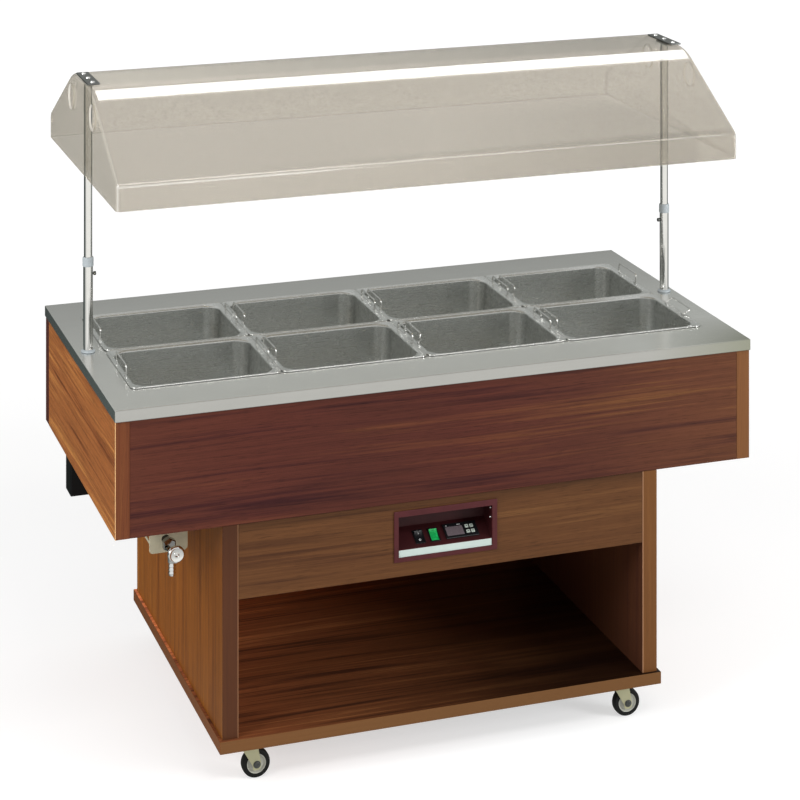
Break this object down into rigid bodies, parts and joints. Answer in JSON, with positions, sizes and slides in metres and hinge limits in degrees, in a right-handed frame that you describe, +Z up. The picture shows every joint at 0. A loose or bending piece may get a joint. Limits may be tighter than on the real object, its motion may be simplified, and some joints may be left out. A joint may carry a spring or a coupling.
{
  "type": "steam table unit",
  "caption": "Wood-clad island food warmer on casters: steel worktop with a heated well of lift-out pans, control panel, drain tap, open shelf and a height-adjustable clear hood on two posts.",
  "frame": {"origin": "on the floor, at the middle of the unit's outline seen from above", "axes": "+X along the worktop's length towards the right end seen from the control side, +Y from the control side towards the back, +Z up"},
  "size_m": [1.42, 0.811, 1.3993],
  "materials": {
    "walnut": "orange-brown walnut laminate, satin, grain along the board",
    "walnut_dark": "dark red-brown walnut laminate, satin, grain along the board",
    "steel": "brushed stainless sheet",
    "chrome": "bright plated",
    "zinc": "yellowish zinc plate, satin",
    "copper": "drawn copper tube",
    "element": "heat-darkened heater sheath",
    "insulation": "glass wool slab",
    "black": "black moulded plastic",
    "green": "green translucent switch lens",
    "maroon": "maroon moulded plastic, fine texture",
    "keys": "pale rubber keys",
    "acrylic": "smoke-grey clear acrylic, polished",
    "tyre": "black rubber tread on a pale plastic hub"
  },
  "bodies": {
    "unit": {"left_side_panel": "walnut", "right_side_panel": "walnut", "left_apron": "walnut", "right_apron": "walnut", "base_board": "walnut_dark", "cabinet_back_panel": "walnut_dark", "compartment_ceiling": "walnut_dark", "fascia_panel": "walnut_dark", "front_apron": "walnut_dark", "back_apron": "walnut_dark", "box_floor": "walnut_dark", "worktop": "steel", "well_tank": "steel", "crossbar_1": "steel", "crossbar_2": "steel", "crossbar_3": "steel", "well_insulation": "insulation", "heating_element": "element", "drain_pipe": "copper", "tap_bracket": "zinc", "caster_plate_front_left": "zinc", "caster_plate_back_left": "zinc", "caster_plate_front_right": "zinc", "caster_plate_back_right": "zinc", "tap_body": "chrome", "post_lower_left": "chrome", "post_lower_right": "chrome", "terminal_box": "black", "thermostat": "black", "control_bezel": "maroon"},
    "caster_front_left": {"caster_fork_front_left": "zinc"},
    "wheel_front_left": {"caster_wheel_front_left": "tyre"},
    "caster_back_left": {"caster_fork_back_left": "zinc"},
    "wheel_back_left": {"caster_wheel_back_left": "tyre"},
    "caster_front_right": {"caster_fork_front_right": "zinc"},
    "wheel_front_right": {"caster_wheel_front_right": "tyre"},
    "caster_back_right": {"caster_fork_back_right": "zinc"},
    "wheel_back_right": {"caster_wheel_back_right": "tyre"},
    "pan_back_1": {"pan_back_1": "steel"},
    "pan_back_2": {"pan_back_2": "steel"},
    "pan_back_3": {"pan_back_3": "steel"},
    "pan_back_4": {"pan_back_4": "steel"},
    "pan_front_1": {"pan_front_1": "steel"},
    "pan_front_2": {"pan_front_2": "steel"},
    "pan_front_3": {"pan_front_3": "steel"},
    "pan_front_4": {"pan_front_4": "steel"},
    "hood": {"hood_shell": "acrylic", "hood_plate_left": "chrome", "hood_plate_right": "chrome", "post_upper_left": "chrome", "post_upper_right": "chrome"},
    "lock_screw_left": {"lock_screw_left": "chrome"},
    "lock_screw_right": {"lock_screw_right": "chrome"},
    "tap_knob": {"tap_knob": "chrome"},
    "rocker_power": {"rocker_power": "black"},
    "rocker_heat": {"rocker_heat": "green"},
    "button_1": {"button_1": "keys"},
    "button_2": {"button_2": "keys"},
    "button_3": {"button_3": "keys"},
    "button_4": {"button_4": "keys"}
  },
  "joints": [
    {"name": "caster_front_left_swivel", "type": "hinge", "parent": "unit", "child": "caster_front_left", "pos_m": [-0.418, -0.3535, 0.0706], "axis": [0, 0, 1], "continuous": true},
    {"name": "wheel_front_left_spin", "type": "hinge", "parent": "caster_front_left", "child": "wheel_front_left", "pos_m": [-0.4045, -0.3535, 0.03], "axis": [0, 1, 0], "continuous": true},
    {"name": "caster_back_left_swivel", "type": "hinge", "parent": "unit", "child": "caster_back_left", "pos_m": [-0.418, 0.3535, 0.0706], "axis": [0, 0, 1], "continuous": true},
    {"name": "wheel_back_left_spin", "type": "hinge", "parent": "caster_back_left", "child": "wheel_back_left", "pos_m": [-0.4045, 0.3535, 0.03], "axis": [0, 1, 0], "continuous": true},
    {"name": "caster_front_right_swivel", "type": "hinge", "parent": "unit", "child": "caster_front_right", "pos_m": [0.418, -0.3535, 0.0706], "axis": [0, 0, 1], "continuous": true},
    {"name": "wheel_front_right_spin", "type": "hinge", "parent": "caster_front_right", "child": "wheel_front_right", "pos_m": [0.4315, -0.3535, 0.03], "axis": [0, 1, 0], "continuous": true},
    {"name": "caster_back_right_swivel", "type": "hinge", "parent": "unit", "child": "caster_back_right", "pos_m": [0.418, 0.3535, 0.0706], "axis": [0, 0, 1], "continuous": true},
    {"name": "wheel_back_right_spin", "type": "hinge", "parent": "caster_back_right", "child": "wheel_back_right", "pos_m": [0.4315, 0.3535, 0.03], "axis": [0, 1, 0], "continuous": true},
    {"name": "pan_back_1_lift", "type": "slide", "parent": "unit", "child": "pan_back_1", "axis": [0, 0, 1], "range_m": [0, 0.2]},
    {"name": "pan_back_2_lift", "type": "slide", "parent": "unit", "child": "pan_back_2", "axis": [0, 0, 1], "range_m": [0, 0.2]},
    {"name": "pan_back_3_lift", "type": "slide", "parent": "unit", "child": "pan_back_3", "axis": [0, 0, 1], "range_m": [0, 0.2]},
    {"name": "pan_back_4_lift", "type": "slide", "parent": "unit", "child": "pan_back_4", "axis": [0, 0, 1], "range_m": [0, 0.2]},
    {"name": "pan_front_1_lift", "type": "slide", "parent": "unit", "child": "pan_front_1", "axis": [0, 0, 1], "range_m": [0, 0.2]},
    {"name": "pan_front_2_lift", "type": "slide", "parent": "unit", "child": "pan_front_2", "axis": [0, 0, 1], "range_m": [0, 0.2]},
    {"name": "pan_front_3_lift", "type": "slide", "parent": "unit", "child": "pan_front_3", "axis": [0, 0, 1], "range_m": [0, 0.2]},
    {"name": "pan_front_4_lift", "type": "slide", "parent": "unit", "child": "pan_front_4", "axis": [0, 0, 1], "range_m": [0, 0.2]},
    {"name": "hood_slide", "type": "slide", "parent": "unit", "child": "hood", "axis": [0, 0, 1], "range_m": [-0.12, 0.1]},
    {"name": "lock_screw_left_turn", "type": "hinge", "parent": "unit", "child": "lock_screw_left", "pos_m": [-0.675, -0.0055, 0.974], "axis": [1, 0, 0], "range_deg": [0, 360]},
    {"name": "lock_screw_right_turn", "type": "hinge", "parent": "unit", "child": "lock_screw_right", "pos_m": [0.675, -0.0055, 0.974], "axis": [-1, 0, 0], "range_deg": [0, 360]},
    {"name": "tap_knob_turn", "type": "hinge", "parent": "unit", "child": "tap_knob", "pos_m": [-0.5495, -0.2538, 0.443], "axis": [0, -1, 0], "range_deg": [0, 90]},
    {"name": "rocker_power_tilt", "type": "hinge", "parent": "unit", "child": "rocker_power", "pos_m": [-0.053, -0.3718, 0.45446], "axis": [1, 0, 0], "range_deg": [-18, 0]},
    {"name": "rocker_heat_tilt", "type": "hinge", "parent": "unit", "child": "rocker_heat", "pos_m": [-0.0196, -0.3718, 0.45446], "axis": [1, 0, 0], "range_deg": [-18, 0]},
    {"name": "button_1_press", "type": "slide", "parent": "unit", "child": "button_1", "axis": [0, 0.4839, -0.8751], "range_m": [0, 0.001]},
    {"name": "button_2_press", "type": "slide", "parent": "unit", "child": "button_2", "axis": [0, 0.4839, -0.8751], "range_m": [0, 0.001]},
    {"name": "button_3_press", "type": "slide", "parent": "unit", "child": "button_3", "axis": [0, 0.4839, -0.8751], "range_m": [0, 0.001]},
    {"name": "button_4_press", "type": "slide", "parent": "unit", "child": "button_4", "axis": [0, 0.4839, -0.8751], "range_m": [0, 0.001]}
  ]
}
